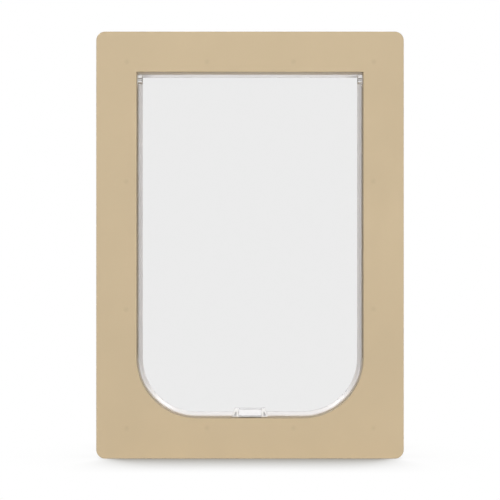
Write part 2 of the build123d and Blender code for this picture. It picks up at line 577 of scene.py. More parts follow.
def lathe(profile: Sequence[Pair], place: Place, sides: int, closed: bool = False) -> MeshDraft:
    """Turn a profile about an axis.

    Args:
        profile: distances along the axis and radii.
        place: gives the point for a distance, a radius and an angle.
        sides: the faces round the axis.
        closed: whether the profile is a closed section away from the axis.

    Returns:
        The turned shape.
    """
    turns = [2 * math.pi * step / sides for step in range(sides)]
    rings = [[place(along, radius, turn) for turn in turns] for along, radius in profile]
    return MeshDraft().skin(rings, closed)


def rectangle(half_width: float, half_height: float) -> list[Pair]:
    """A rectangle's corners about its middle, in order."""
    return [(x * half_width, y * half_height) for x, y in ((-1, -1), (1, -1), (1, 1), (-1, 1))]


def box_draft(low: Sequence[float], high: Sequence[float]) -> MeshDraft:
    """A box between its lowest and its highest corner."""
    corners = ((low[0], low[1]), (high[0], low[1]), (high[0], high[1]), (low[0], high[1]))
    return MeshDraft().skin([[Vector((x, y, z)) for x, y in corners] for z in (low[2], high[2])])


def tidy_mesh(mesh: bpy.types.Mesh, weld: float = 0.0001 * MM) -> None:
    """Merge the doubles of a mesh and turn its faces outwards.

    Args:
        mesh: the mesh to change.
        weld: the distance within which points are merged.
    """
    sheet = bmesh.new()
    sheet.from_mesh(mesh)
    bmesh.ops.remove_doubles(sheet, verts=sheet.verts, dist=weld)
    bmesh.ops.recalc_face_normals(sheet, faces=sheet.faces)
    sheet.to_mesh(mesh)
    sheet.free()


def place_object(name: str, mesh: bpy.types.Mesh) -> Piece:
    """Put a mesh into the scene as an object at the origin.

    Args:
        name: the object's name.
        mesh: its mesh.

    Returns:
        The object.
    """
    mesh.name = name
    piece = bpy.data.objects.new(name, mesh)
    bpy.context.scene.collection.objects.link(piece)
    return piece


def cad_copy(frame: dict[str, Any], node: str, name: str, weld: float = 0.001 * MM) -> Piece:
    """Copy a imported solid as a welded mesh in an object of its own.

    Args:
        node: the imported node.
        name: the new piece's name.
        weld: the distance within which points are merged.

    Returns:
        The new object.
    """
    mesh = frame["nodes"][node].data.copy()
    mesh.materials.clear()
    tidy_mesh(mesh, weld)
    return place_object(name, mesh)


def bake(piece: Piece) -> None:
    """Turn an object's modifiers into its plain mesh and remove them.

    Args:
        piece: the object.
    """
    graph = bpy.context.evaluated_depsgraph_get()
    graph.update()
    shown = piece.evaluated_get(graph)
    mesh = bpy.data.meshes.new_from_object(shown, preserve_all_data_layers=True, depsgraph=graph)
    piece.modifiers.clear()
    old = piece.data
    piece.data = mesh
    bpy.data.meshes.remove(old)
    mesh.name = piece.name


def combine(piece: Piece, tool: Piece, change: Change) -> None:
    """Add a tool's solid to an object's or cut it away, and delete the tool.

    Args:
        piece: the object to change.
        tool: the second solid.
        change: what it does to the object.
    """
    modifier = piece.modifiers.new("Solid", "BOOLEAN")
    modifier.object = tool
    modifier.operation = change.value
    modifier.solver = "EXACT"
    bake(piece)
    mesh = tool.data
    bpy.data.objects.remove(tool)
    bpy.data.meshes.remove(mesh)


def soften(piece: Piece, width: float, segments: int = 3, sharp_deg: float = 30.0) -> None:
    """Round an object's hard edges.

    Args:
        piece: the object.
        width: how far the rounding reaches from an edge.
        segments: the faces across the rounding.
        sharp_deg: edges sharper than this are rounded.
    """
    modifier = piece.modifiers.new("Soft edges", "BEVEL")
    modifier.width = width
    modifier.segments = segments
    modifier.limit_method = "ANGLE"
    modifier.angle_limit = math.radians(sharp_deg)
    bake(piece)


def split_faces(piece: Piece, half: float) -> None:
    """Split an object's faces along two upright planes, so that they can differ in finish.

    Args:
        piece: the object.
        half: the distance of each plane from the middle of the door.
    """
    sheet = bmesh.new()
    sheet.from_mesh(piece.data)
    for side in Side:
        whole = [*sheet.verts, *sheet.edges, *sheet.faces]
        place = (side.value * half, 0.0, 0.0)
        bmesh.ops.bisect_plane(sheet, geom=whole, plane_co=place, plane_no=(1.0, 0.0, 0.0))
    sheet.to_mesh(piece.data)
    sheet.free()


def smooth(piece: Piece, sharp_deg: float) -> None:
    """Shade an object smooth, with hard edges past an angle."""
    piece.data.shade_smooth()
    piece.data.set_sharp_from_angle(angle=math.radians(sharp_deg))


def dress(piece: Piece, sharp_deg: float, *materials: Material) -> None:
    """Shade an object smooth, its large faces keeping their own normals, and give it its materials.

    Args:
        piece: the object.
        sharp_deg: edges sharper than this stay hard.
        materials: the materials, in the order of the faces' numbers.
    """
    smooth(piece, sharp_deg)
    modifier = piece.modifiers.new("Flat faces", "WEIGHTED_NORMAL")
    modifier.keep_sharp = True
    bake(piece)
    piece.data.materials.clear()
    for material in materials:
        piece.data.materials.append(material)


def hand_over(piece: Piece, body: Body, node: str) -> None:
    """Args:
        piece: the finished piece.
        body: the body that it moves with.
        node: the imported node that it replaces.
    """
    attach(piece, body.value)
    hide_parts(node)
    LOG.info("%s rides on %s, %d faces", piece.name, body.value, len(piece.data.polygons))


# Geometry node trees


class NodeRecipe(NodeSheet):
    """A geometry node tree with named inputs, and the modifier values that go with them."""

    def __init__(self, name: str) -> None:
        """Make the tree with a geometry input and output.

        Args:
            name: the tree's name.
        """
        super().__init__(bpy.data.node_groups.new(name, "GeometryNodeTree"))
        for way in ("INPUT", "OUTPUT"):
            self.tree.interface.new_socket(name="Geometry", in_out=way, socket_type="NodeSocketGeometry")
        self.entry = self.add("NodeGroupInput")
        self.exit = self.add("NodeGroupOutput")
        self.values: dict[str, Any] = {}

    def input(self, name: str, kind: str, value: Any) -> Socket:
        """Add a named input.

        Args:
            name: the input's name.
            kind: the end of its socket's type name, such as Float.
            value: the value that the modifier gets.

        Returns:
            The socket that gives the value inside the tree.
        """
        socket = self.tree.interface.new_socket(name=name, in_out="INPUT", socket_type=f"NodeSocket{kind}")
        self.values[socket.identifier] = value
        return self.entry.outputs[name]

    def run(self, piece: Piece, geometry: Socket, material: Socket) -> None:
        """End the tree, run it on an object and keep the result as the object's plain mesh.

        Args:
            piece: the object.
            geometry: what the tree has made, to be realized.
            material: the socket of the material that it gets.
        """
        real = self.add("GeometryNodeRealizeInstances", feeds={0: geometry})
        feeds = {"Geometry": real.outputs[0], "Material": material}
        dressed = self.add("GeometryNodeSetMaterial", feeds=feeds)
        self.feed(self.exit.inputs[0], dressed.outputs[0])
        modifier = piece.modifiers.new(self.tree.name, "NODES")
        modifier.node_group = self.tree
        for identifier, value in self.values.items():
            modifier[identifier] = value
        bake(piece)


# The opening and the hinge, which the other pieces follow


@dataclass(frozen=True)
class Opening:
    """The opening in the frames: square at the top, round at the sill."""

    half_width: float = 129.0 * MM
    half_height: float = 197.0 * MM
    sill_radius: float = 68.0 * MM
    corner_steps: int = 40

    def outline(self, inset: float, top_inset: float, depth: float) -> list[Vector]:
        """Lay points round the outline, taken in from the opening's edge.

        Args:
            inset: how far the sides and the sill are taken in.
            top_inset: how far the top is taken in.
            depth: the points' Y.

        Returns:
            The points, from the top right corner by way of the top left one.
        """
        half = self.half_width - inset
        top = self.half_height - top_inset
        radius = self.sill_radius - inset
        centre_z = inset - self.half_height + radius
        points = [(half, top), (-half, top)]
        for centre_x, start in ((radius - half, 180.0), (half - radius, 270.0)):
            for step in range(self.corner_steps + 1):
                turn = math.radians(start + 90.0 * step / self.corner_steps)
                points.append((centre_x + radius * math.cos(turn), centre_z + radius * math.sin(turn)))
        return [Vector((x, depth, z)) for x, z in points]


@dataclass(frozen=True)
class Hinge:
    """The axis that the flap swings about, along X in the flap's middle plane."""

    depth: float = 7.0 * MM
    height: float = 189.4 * MM

    def point(self, across: float, radius: float, turn: float, stretch: float = 0.0) -> Vector:
        """Find a point about the axis.

        Args:
            across: its X.
            radius: its distance from the axis.
            turn: its angle, from indoors upwards.
            stretch: how much farther up or down it lies.

        Returns:
            The point.
        """
        rise = math.copysign(stretch, math.sin(turn)) + radius * math.sin(turn)
        return Vector((across, self.depth + radius * math.cos(turn), self.height + rise))


# The clamping frames


@dataclass(frozen=True)
class PanScrew:
    """A pan-head screw with a cross recess, at the origin, its shank along -Y.

    Each end of a recess bar is given as half its length, half its width, and its level from the head's top.
    """

    head_radius: float = 4.0 * MM
    head_height: float = 2.2 * MM
    head_ease: float = 0.25 * MM
    head_edge: float = 0.12 * MM
    head_flat: float = 0.3 * MM
    head_sides: int = 40
    seat_share: float = 0.8
    dome_start: float = 12.0
    dome_turn: float = 70.0
    dome_steps: int = 7
    dome_fullness: float = 0.55
    recess_foot: Triple = (0.7 * MM, 0.3 * MM, -1.7 * MM)
    recess_mouth: Triple = (2.25 * MM, 0.48 * MM, 0.3 * MM)
    shank_radius: float = 2.1 * MM
    shank_length: float = 38.0 * MM
    shank_overlap: float = 0.3 * MM
    shank_sides: int = 18
    plain_length: float = 2.0 * MM
    thread_pitch: float = 1.6 * MM
    thread_depth: float = 0.42 * MM
    thread_rows: int = 6
    crest_half: float = 0.32
    tip_length: float = 4.0 * MM
    tip_share: float = 0.25
    sharp_deg: float = 35.0

    def build(self) -> Piece:
        """Make the screw.

        Returns:
            The screw, for geometry nodes to repeat.
        """
        screw = self._head().piece("one_screw")
        for turn in (0.0, math.pi / 2):
            combine(screw, self._recess(turn), Change.CUT)
        combine(screw, self._shank().piece("one_shank"), Change.ADD)
        smooth(screw, self.sharp_deg)
        return screw

    @staticmethod
    def _point(along: float, radius: float, turn: float) -> Vector:
        """A point about the screw's axis."""
        return Vector((radius * math.cos(turn), along, radius * math.sin(turn)))

    def _head(self) -> MeshDraft:
        """Turn the domed head.

        Returns:
            The head.
        """
        radius, top = self.head_radius, self.head_height
        seat = self.shank_radius * self.seat_share
        profile = [(0.0, seat), (0.0, radius - self.head_ease), (self.head_edge, radius)]
        for step in range(self.dome_steps + 1):
            turn = math.radians(self.dome_start + self.dome_turn * step / self.dome_steps)
            profile.append((top * math.sin(turn), radius * math.cos(turn) ** self.dome_fullness))
        profile.append((top, self.head_flat))
        return lathe(profile, self._point, self.head_sides)

    def _recess(self, turn: float) -> Piece:
        """Make one tapered bar of the cross recess.

        Args:
            turn: the bar's angle about the screw's axis.

        Returns:
            The bar, to be cut from the head.
        """
        cos, sin = math.cos(turn), math.sin(turn)
        rings = []
        for half_length, half_width, level in (self.recess_foot, self.recess_mouth):
            y = self.head_height + level
            corners = rectangle(half_length, half_width)
            rings.append([Vector((x * cos - z * sin, y, x * sin + z * cos)) for x, z in corners])
        return MeshDraft().skin(rings).piece("recess_bar")

    def _shank(self) -> MeshDraft:
        """Make the threaded shank with its tip, from a little inside the head.

        Returns:
            The shank.
        """
        length = self.shank_overlap + self.shank_length
        rows = round(length / self.thread_pitch * self.thread_rows)
        shares = [side / self.shank_sides for side in range(self.shank_sides)]
        rings = []
        for row in range(rows + 1):
            along = self.shank_overlap - length * row / rows
            rings.append([self._thread_point(along, share) for share in shares])
        return MeshDraft().skin(rings)

    def _thread_point(self, along: float, share: float) -> Vector:
        """Find a point of the shank's surface.

        Args:
            along: its Y.
            share: how far round the shank it lies, from 0 to 1.

        Returns:
            The point.
        """
        crest = 0.0
        if along <= -self.plain_length:
            phase = (along / self.thread_pitch + share) % 1.0
            crest = max(0.0, 1 - abs(phase - 0.5) / self.crest_half)
        taper = min(1.0, (along + self.shank_length) / self.tip_length)
        girth = self.tip_share + (1 - self.tip_share) * taper
        radius = (self.shank_radius - self.thread_depth * (1 - crest)) * girth
        return self._point(along, radius, 2 * math.pi * share)


@dataclass
class ClampFrames:
    """The outdoor and indoor frames and the screws that draw them together."""

    post_column: float = 140.3 * MM
    post_row: float = 208.3 * MM
    row_half_pitch: float = 49.2 * MM
    column_half_pitch: float = 73.0 * MM
    indoor_face: float = 52.0 * MM
    largest_turn: float = math.pi
    seed: int = 7
    sharp_deg: float = 30.0
    colour: Colour = (0.597, 0.472, 0.301)
    screw: PanScrew = PanScrew()
    steel: Finish = PlatedMetal("screw_steel", (0.62, 0.61, 0.58), roughness=0.28)

    @property
    def quarter_posts(self) -> tuple[Pair, ...]:
        """The posts of the upper right quarter, as x and z."""
        column, row = self.post_column, self.post_row
        return (self.row_half_pitch, row), (column, row), (column, self.column_half_pitch)

    def build(self, frame: dict[str, Any]) -> None:
        """Make the frames and their screws.
        """
        finishes = {
            "outer_frame": MouldedPlastic(
                "frame_plastic_outdoor", self.colour, sink_points=self.quarter_posts
            ),
            "inner_frame": MouldedPlastic("frame_plastic_indoor", self.colour),
        }
        for node, finish in finishes.items():
            piece = cad_copy(frame, node, f"{node}_moulding")
            dress(piece, self.sharp_deg, finish.build())
            hand_over(piece, Body.FRAME, node)
        self._set_screws()

    def _set_screws(self) -> None:
        """Set a screw at each post by geometry nodes."""
        screw = self.screw.build()
        posts = [(x * sx, z * sz) for x, z in self.quarter_posts for sx in (-1, 1) for sz in (-1, 1)]
        mesh = bpy.data.meshes.new("screw_places")
        mesh.from_pydata([Vector((x, self.indoor_face, z)) for x, z in posts], [], [])
        piece = place_object("frame_screw_set", mesh)

        recipe = NodeRecipe("Screws at posts")
        model = recipe.input("Screw", "Object", screw)
        turn = recipe.input("Largest turn", "Float", self.largest_turn)
        seed = recipe.input("Seed", "Int", self.seed)
        finish = recipe.input("Finish", "Material", self.steel.build())
        info = recipe.add("GeometryNodeObjectInfo", feeds={"Object": model})
        feeds = {3: turn, "Seed": seed}
        spin = recipe.add("FunctionNodeRandomValue", "Where driving stopped", feeds, data_type="FLOAT")
        feeds = {
            "Points": recipe.entry.outputs[0],
            "Instance": info.outputs["Geometry"],
            "Rotation": recipe.xyz(Y=spin.outputs[1]),
        }
        screws = recipe.add("GeometryNodeInstanceOnPoints", feeds=feeds)
        recipe.run(piece, screws.outputs[0], finish)
        bpy.data.objects.remove(screw)
        hand_over(piece, Body.FRAME, "frame_screws")


# The swinging flap


@dataclass
class ClearFlap:
    """The clear flap: a flat panel in a thicker beaded rim, with a knuckle in each top corner.

    A notch in the middle of the bottom edge is given as half its width, and its height. The finishes are in
    the order of the zones.
    """

    opening: Opening
    hinge: Hinge
    gap: float = 1.0 * MM
    top_gap: float = 1.6 * MM
    rim_width: float = 5.4 * MM
    top_rim_width: float = 3.8 * MM
    rim_half: float = 3.1 * MM
    panel_half: float = 1.5 * MM
    edge_round: float = 1.6 * MM
    edge_fullness: float = 0.75
    edge_steps: int = 8
    crest_end: float = 1.9 * MM
    ramp_ease: float = 0.18
    ramp_steps: int = 10
    knuckle_radius: float = 4.6 * MM
    knuckle_stretch: float = 1.4 * MM
    knuckle_length: float = 5.3 * MM
    knuckle_ease: float = 0.4 * MM
    knuckle_ease_share: float = 0.3
    knuckle_round: float = 1.2 * MM
    knuckle_steps: int = 6
    knuckle_sides: int = 48
    clip_notch: Pair = (20.65 * MM, 1.15 * MM)
    magnet_notch: Pair = (13.2 * MM, 8.2 * MM)
    notch_reach: float = 6.0 * MM
    notch_margin: float = 2.0 * MM
    foot_half: float = 18.6 * MM
    flat_normal: float = 0.99
    slack: float = 0.05 * MM
    sharp_deg: float = 38.0
    finishes: tuple[Finish, ...] = (
        ClearPlastic("clear_flap", (0.83, 0.83, 0.83)),
        FrostedRim("clear_flap_rim", (0.95, 0.935, 0.94)),
        # Painted shade: the foot seen through the clip's windows is greyer and darker than the rim, standing
        # in for the shade in the windows.
        ClearPlastic("clear_flap_foot", (0.68, 0.68, 0.685), roughness=0.3, clearness=0.1),
        ClearPlastic("clear_flap_knuckle", (0.97, 0.96, 0.96), roughness=0.06, clearness=0.8),
    )

    @property
    def edge(self) -> float:
        """The distance of the flap's side edges from the middle of the door."""
        return self.opening.half_width - self.gap

    @property
    def bottom(self) -> float:
        """The height of the flap's bottom edge."""
        return self.gap - self.opening.half_height

    def build(self) -> None:
        """Make the flap."""
        piece = self._sheet().piece("flap_sheet")
        for side in Side:
            combine(piece, self._knuckle(side), Change.ADD)
        for notch in (self.clip_notch, self.magnet_notch):
            combine(piece, self._notch(*notch), Change.CUT)
        split_faces(piece, self.foot_half)
        dress(piece, self.sharp_deg, *(finish.build() for finish in self.finishes))
        for face in piece.data.polygons:
            face.material_index = self._zone(face).value
        hand_over(piece, Body.FLAP, "flap_panel")

    def _zone(self, face: bpy.types.MeshPolygon) -> FlapZone:
        """Tell which zone a face belongs to.

        Args:
            face: a face of the flap.

        Returns:
            The zone.
        """
        x, y, z = face.center
        level = abs(y - self.hinge.depth) - self.panel_half
        if abs(face.normal.y) > self.flat_normal and abs(level) < self.slack:
            return FlapZone.PANEL
        if abs(x) < self.foot_half and z < self.bottom + self.rim_width:
            return FlapZone.FOOT
        length = self.knuckle_length + self.slack
        half_height = self.knuckle_radius + self.knuckle_stretch + self.slack
        if self.edge - abs(x) < length and abs(z - self.hinge.height) < half_height:
            return FlapZone.KNUCKLE
        return FlapZone.RIM

    def _sheet(self) -> MeshDraft:
        """Make the panel and its rim as one closed shell of nested outlines.

        Returns:
            The shell.
        """
        draft = MeshDraft()
        section = self._section()
        front = [draft.ring(self._outline(inset, -rise)) for inset, rise in section]
        back = [draft.ring(self._outline(inset, rise)) for inset, rise in section[1:]]
        draft.bridge(front)
        draft.bridge([front[0], *back])
        draft.faces += [front[-1], back[-1]]
        return draft

    def _outline(self, inset: float, rise: float) -> list[Vector]:
        """One outline of the shell, by its distance in from the side edges and indoors from the middle."""
        top_inset = inset * (self.top_rim_width / self.rim_width)
        return self.opening.outline(self.gap + inset, self.top_gap + top_inset, self.hinge.depth + rise)

    def _section(self) -> list[Pair]:
        """Draw the rim's half section, from the middle of its edge to the foot of the bead.

        Returns:
            Distances in from the edge and out from the middle plane.
        """
        section = []
        for step in range(self.edge_steps + 1):
            turn = math.pi / 2 * step / self.edge_steps
            rise = self.rim_half * math.sin(turn) ** self.edge_fullness
            section.append((self.edge_round * (1 - math.cos(turn)), rise))
        for step in range(self.ramp_steps + 1):
            share = step / self.ramp_steps
            rise = self.rim_half + (self.panel_half - self.rim_half) * self._fall(share)
            section.append((self.crest_end + (self.rim_width - self.crest_end) * share, rise))
        return section

    def _fall(self, share: float) -> float:
        """Tell how far the ramp has come down, in a straight fall with eased ends.

        Args:
            share: how far across the ramp, from 0 to 1.

        Returns:
            The share of the whole fall.
        """
        ease = self.ramp_ease
        if share < ease:
            return share * share / (2 * ease * (1 - ease))
        if share > 1 - ease:
            return 1 - (1 - share) ** 2 / (2 * ease * (1 - ease))
        return (share - ease / 2) / (1 - ease)

    def _knuckle(self, side: Side) -> Piece:
        """Make the upright oblong knuckle that holds one hinge pin.

        Args:
            side: the flap's side.

        Returns:
            The knuckle, to be added to the flap.
        """
        length, radius, corner = self.knuckle_length, self.knuckle_radius, self.knuckle_round
        ease, part = self.knuckle_ease, self.knuckle_ease * self.knuckle_ease_share
        section = [(0.0, radius - ease), (part, radius - part), (ease, radius)]
        for step in range(self.knuckle_steps + 1):
            turn = math.radians(90 * step / self.knuckle_steps)
            end = length - corner + corner * math.sin(turn)
            section.append((end, radius - corner + corner * math.cos(turn)))
        profile = side.placed([(self.edge - inset, reach) for inset, reach in section])
        place = partial(self.hinge.point, stretch=self.knuckle_stretch)
        return lathe(profile, place, self.knuckle_sides).piece("knuckle")

    def _notch(self, half: float, height: float) -> Piece:
        """Make a block to be cut from the middle of the bottom edge.

        Args:
            half: half the notch's width.
            height: its height.

        Returns:
            The block.
        """
        low = (-half, self.hinge.depth - self.notch_reach, self.bottom - self.notch_margin)
        high = (half, self.hinge.depth + self.notch_reach, self.bottom + height)
        return box_draft(low, high).piece("notch")


@dataclass
class HingePivots:
    """The steel pins in the flap's knuckles and the flanged bushes that they turn in."""

    hinge: Hinge
    wall: float = 129.0 * MM
    bush_end: float = 136.0 * MM
    bush_radius: float = 3.0 * MM
    bush_ease: float = 0.15 * MM
    flange_radius: float = 5.5 * MM
    flange_thickness: float = 0.5 * MM
    bore_radius: float = 1.8 * MM
    pin_start: float = 123.6 * MM
    pin_radius: float = 1.75 * MM
    pin_ease: float = 0.3 * MM
    head_start: float = 136.3 * MM
    head_length: float = 1.2 * MM
    head_radius: float = 3.0 * MM
    sides: int = 48
    sharp_deg: float = 35.0
    steel: Finish = PlatedMetal("pin_steel", (0.72, 0.72, 0.72), roughness=0.16)
    acetal: Finish = GrainedSolid(
        "bush_plastic",
        (0.8, 0.78, 0.72),
        roughness=0.35,
        speckle=0.03,
        grain_size=0.4 * MM,
        grain_depth=0.003 * MM,
    )

    def build(self) -> None:
        """Make both pivots."""
        steel, acetal = self.steel.build(), self.acetal.build()
        turned = partial(lathe, place=self.hinge.point, sides=self.sides)
        for side in Side:
            pin = turned(side.placed(self._pin_profile())).piece(f"pivot_pin_{side.word}")
            dress(pin, self.sharp_deg, steel)
            hand_over(pin, Body.FLAP, f"hinge_pin_{side.word}")
            bush = turned(side.placed(self._bush_section()), closed=True).piece(f"pivot_bush_{side.word}")
            dress(bush, self.sharp_deg, acetal)
            hand_over(bush, Body.FRAME, f"hinge_bush_{side.word}")

    def _pin_profile(self) -> list[Pair]:
        """Draw the pin's profile, from its pressed end to its head.

        Returns:
            Distances from the middle of the door, and radii.
        """
        ease = self.pin_ease
        head_end = self.head_start + self.head_length
        return [
            (self.pin_start, self.pin_radius - ease),
            (self.pin_start + ease, self.pin_radius),
            (self.head_start, self.pin_radius),
            (self.head_start, self.head_radius - ease / 2),
            (self.head_start + ease / 2, self.head_radius),
            (head_end - ease, self.head_radius),
            (head_end - ease / 3, self.head_radius - ease / 2),
            (head_end, self.head_radius - 2 * ease),
        ]

    def _bush_section(self) -> list[Pair]:
        """Draw the bush's closed section, from the bore round the flange and back.

        Returns:
            Distances from the middle of the door, and radii.
        """
        ease = self.bush_ease
        face = self.wall - self.flange_thickness
        return [
            (face, self.bore_radius + ease),
            (face, self.flange_radius - ease),
            (face + ease, self.flange_radius),
            (self.wall, self.flange_radius),
            (self.wall, self.bush_radius),
            (self.bush_end, self.bush_radius),
            (self.bush_end, self.bore_radius),
            (face + ease, self.bore_radius),
        ]


@dataclass
class MagnetCatch:
    """The clear clip on the flap's bottom edge, the magnet inside it and the one in the sill.

    A room in the clip is given as half its width, half its depth, and its top above the flap's bottom edge.
    """

    depth: float
    bottom: float = -196.0 * MM
    base_half: float = 20.5 * MM
    top_half: float = 17.3 * MM
    height: float = 9.6 * MM
    thickness_half: float = 4.45 * MM
    edge_width: float = 0.25 * MM
    floor: float = 1.0 * MM
    rim_room: Triple = (24.0 * MM, 3.25 * MM, 5.55 * MM)
    panel_room: Triple = (24.0 * MM, 1.65 * MM, 12.0 * MM)
    magnet_room: Triple = (13.2 * MM, 3.0 * MM, 8.2 * MM)
    window_start: float = 15.4 * MM
    window_end: float = 18.9 * MM
    window_top: float = 15.9 * MM
    window_sill: float = 1.1 * MM
    window_head: float = 6.1 * MM
    window_reach: float = 6.0 * MM
    middle_half: float = 13.1 * MM
    magnet_half: Triple = (13.0 * MM, 2.8 * MM, 3.5 * MM)
    magnet_middle: float = -191.5 * MM
    magnet_edge: float = 0.4 * MM
    sharp_deg: float = 40.0
    middle: Finish = ClearPlastic("clear_clip", (0.985, 0.98, 0.985), roughness=0.05)
    # Painted highlight: the clip's ends are white and nearly opaque, standing in for the highlights on its
    # end walls.
    ends: Finish = ClearPlastic("clear_clip_ends", (0.995, 0.99, 0.995), roughness=0.15, clearness=0.02)
    # Painted light: the plating is lighter than nickel's own colour, so that the magnet shows as bright as
    # the panel through the clip.
    plating: Finish = PlatedMetal("plated_magnet", (0.98, 0.975, 0.97), roughness=0.16)
    ferrite: Finish = GrainedSolid(
        "ferrite_magnet",
        (0.06, 0.06, 0.065),
        roughness=0.6,
        speckle=0.35,
        grain_size=0.5 * MM,
        grain_depth=0.02 * MM,
    )

    def build(self, frame: dict[str, Any]) -> None:
        """Make the clip and its magnet, and finish the sill's magnet.
        """
        clip = self._saddle()
        split_faces(clip, self.middle_half)
        dress(clip, self.sharp_deg, self.middle.build(), self.ends.build())
        # The ends past middle_half get the painted-highlight finish.
        for face in clip.data.polygons:
            face.material_index = int(abs(face.center.x) > self.middle_half)
        hand_over(clip, Body.FLAP, "magnet_clip")

        centre, half = Vector((0.0, self.depth, self.magnet_middle)), Vector(self.magnet_half)
        magnet = box_draft(centre - half, centre + half).piece("clip_magnet")
        soften(magnet, self.magnet_edge)
        dress(magnet, self.sharp_deg, self.plating.build())
        hand_over(magnet, Body.FLAP, "flap_magnet")

        ferrite = self.ferrite.build()
        for slot in frame["nodes"]["sill_magnet"].material_slots:
            slot.material = ferrite
        LOG.info("sill_magnet keeps its packed solid")

    def _saddle(self) -> Piece:
        """Make the clip: a block with sloping ends, hollowed for the rim, the panel and the magnet.

        Returns:
            The clip.
        """
        base, top = self.base_half, self.top_half
        corners = ((-base, 0.0), (base, 0.0), (top, self.height), (-top, self.height))
        clip = self._prism("clip_saddle", corners, -self.thickness_half, self.thickness_half)
        soften(clip, self.edge_width)
        for half_width, half_depth, room_top in (self.rim_room, self.panel_room, self.magnet_room):
            low = (-half_width, self.depth - half_depth, self.bottom + self.floor)
            high = (half_width, self.depth + half_depth, self.bottom + room_top)
            combine(clip, box_draft(low, high).piece("room"), Change.CUT)
        window = (
            (self.window_start, self.window_sill),
            (self.window_end, self.window_sill),
            (self.window_top, self.window_head),
            (self.window_start, self.window_head),
        )
        wall = self.rim_room[1]
        for side in Side:
            for low, high in ((-self.window_reach, -wall), (wall, self.window_reach)):
                combine(clip, self._prism("window", side.placed(window), low, high), Change.CUT)
        return clip

    def _prism(self, name: str, corners: Sequence[Pair], low: float, high: float) -> Piece:
        """Make a solid from a front-view outline.

        Args:
            name: the object's name.
            corners: x, and height above the flap's bottom edge.
            low: the outdoor end, from the flap's middle plane.
            high: the indoor end, from the flap's middle plane.

        Returns:
            The solid.
        """
        rings = []
        for level in (low, high):
            rings.append([Vector((x, self.depth + level, self.bottom + z)) for x, z in corners])
        return MeshDraft().skin(rings).piece(name)


@dataclass
class WeatherPile:
    """The brushed pile strips in the tunnel's side walls."""

    depth: float
    seat: float = 130.0 * MM
    tip: float = 128.4 * MM
    backing: float = 0.6 * MM
    half_width: float = 2.5 * MM
    low: float = -129.0 * MM
    high: float = 180.9 * MM
    facing_share: float = 0.5
    fibres_per_square_mm: float = 4.0
    fibre_share: float = 0.94
    fibre_radius: float = 0.09 * MM
    fibre_taper: float = 0.35
    fibre_sides: int = 4
    largest_lean: float = 0.22
    seed: int = 11
    # Painted light: the yarn is lighter than its own colour, lightening the shade in the gaps beside the
    # flap.
    yarn: Finish = PileYarn("weather_pile", (0.4, 0.33, 0.23))

    def build(self) -> None:
        """Make both strips."""
        yarn = self.yarn.build()
        for side in Side:
            piece = self._backing(side)
            self._grow(piece, side, yarn)
            hand_over(piece, Body.FRAME, f"pile_strip_{side.word}")

    def _backing(self, side: Side) -> Piece:
        """Make the woven backing that sits in the wall's seat.

        Args:
            side: the side of the opening.

        Returns:
            The backing.
        """
        left, right = sorted((side.value * self.seat, side.value * (self.seat - self.backing)))
        low = (left, self.depth - self.half_width, self.low)
        high = (right, self.depth + self.half_width, self.high)
        return box_draft(low, high).piece(f"pile_brush_{side.word}")

    def _grow(self, piece: Piece, side: Side, yarn: Material) -> None:
        """Grow fibres on the backing by geometry nodes.

        Args:
            piece: the backing.
            side: the side of the opening.
            yarn: the fibres' material.
        """
        room = self.seat - self.backing - self.tip
        recipe = NodeRecipe(f"Pile fibres {side.word}")
        density = recipe.input("Fibres per square metre", "Float", self.fibres_per_square_mm / MM**2)
        length = recipe.input("Fibre length", "Float", room * self.fibre_share)
        radius = recipe.input("Fibre radius", "Float", self.fibre_radius)
        lean = recipe.input("Largest lean", "Float", self.largest_lean)
        seed = recipe.input("Seed", "Int", self.seed)
        finish = recipe.input("Finish", "Material", yarn)
        base = recipe.entry.outputs[0]

        normal = recipe.axes(recipe.add("GeometryNodeInputNormal").outputs[0])
        inward = recipe.math("MULTIPLY", normal["X"], -side.value)
        facing = recipe.math("GREATER_THAN", inward, self.facing_share)
        feeds = {"Mesh": base, "Selection": facing, "Density": density, "Seed": seed}
        scatter = recipe.add("GeometryNodeDistributePointsOnFaces", feeds=feeds, distribute_method="RANDOM")
        roots = scatter.outputs
        feeds = {
            "Vertices": self.fibre_sides,
            "Radius Top": recipe.math("MULTIPLY", radius, self.fibre_taper),
            "Radius Bottom": radius,
            "Depth": length,
        }
        fibre = recipe.add("GeometryNodeMeshCone", "Fibre", feeds, fill_type="NGON").outputs["Mesh"]
        back = recipe.math("MULTIPLY", lean, -1.0)
        feeds = {0: recipe.xyz(X=back, Y=back), 1: recipe.xyz(X=lean, Y=lean), "Seed": seed}
        tilt = recipe.add("FunctionNodeRandomValue", "Lean", feeds, data_type="FLOAT_VECTOR").outputs[0]
        feeds = {"Rotation": roots["Rotation"], "Rotate By": tilt}
        stand = recipe.add("FunctionNodeRotateRotation", feeds=feeds, rotation_space="LOCAL").outputs[0]
        feeds = {"Points": roots["Points"], "Instance": fibre, "Rotation": stand}
        fibres = recipe.add("GeometryNodeInstanceOnPoints", feeds=feeds)
        whole = recipe.add("GeometryNodeJoinGeometry", feeds={0: base})
        recipe.feed(whole.inputs[0], fibres.outputs[0])
        recipe.run(piece, whole.outputs[0], finish)


# The studio


@dataclass(frozen=True)
class SoftBox:
    """One large soft lamp that points at the object."""

    name: str
    place: Triple
    size: Pair
    power: float
    aim: Triple = (0.0, 0.0, 0.0)
    mirrored: bool = True

    def build(self) -> None:
        """Add the lamp to the scene, unseen through clear pieces."""
        lamp = bpy.data.lights.new(self.name, "AREA")
        lamp.shape = "RECTANGLE"
        lamp.size, lamp.size_y = self.size
        lamp.energy = self.power
        holder = bpy.data.objects.new(self.name, lamp)
        holder.location = self.place
        holder.rotation_euler = (Vector(self.aim) - Vector(self.place)).to_track_quat("-Z", "Y").to_euler()
        holder.visible_transmission = False
        holder.visible_glossy = self.mirrored
        bpy.context.scene.collection.objects.link(holder)


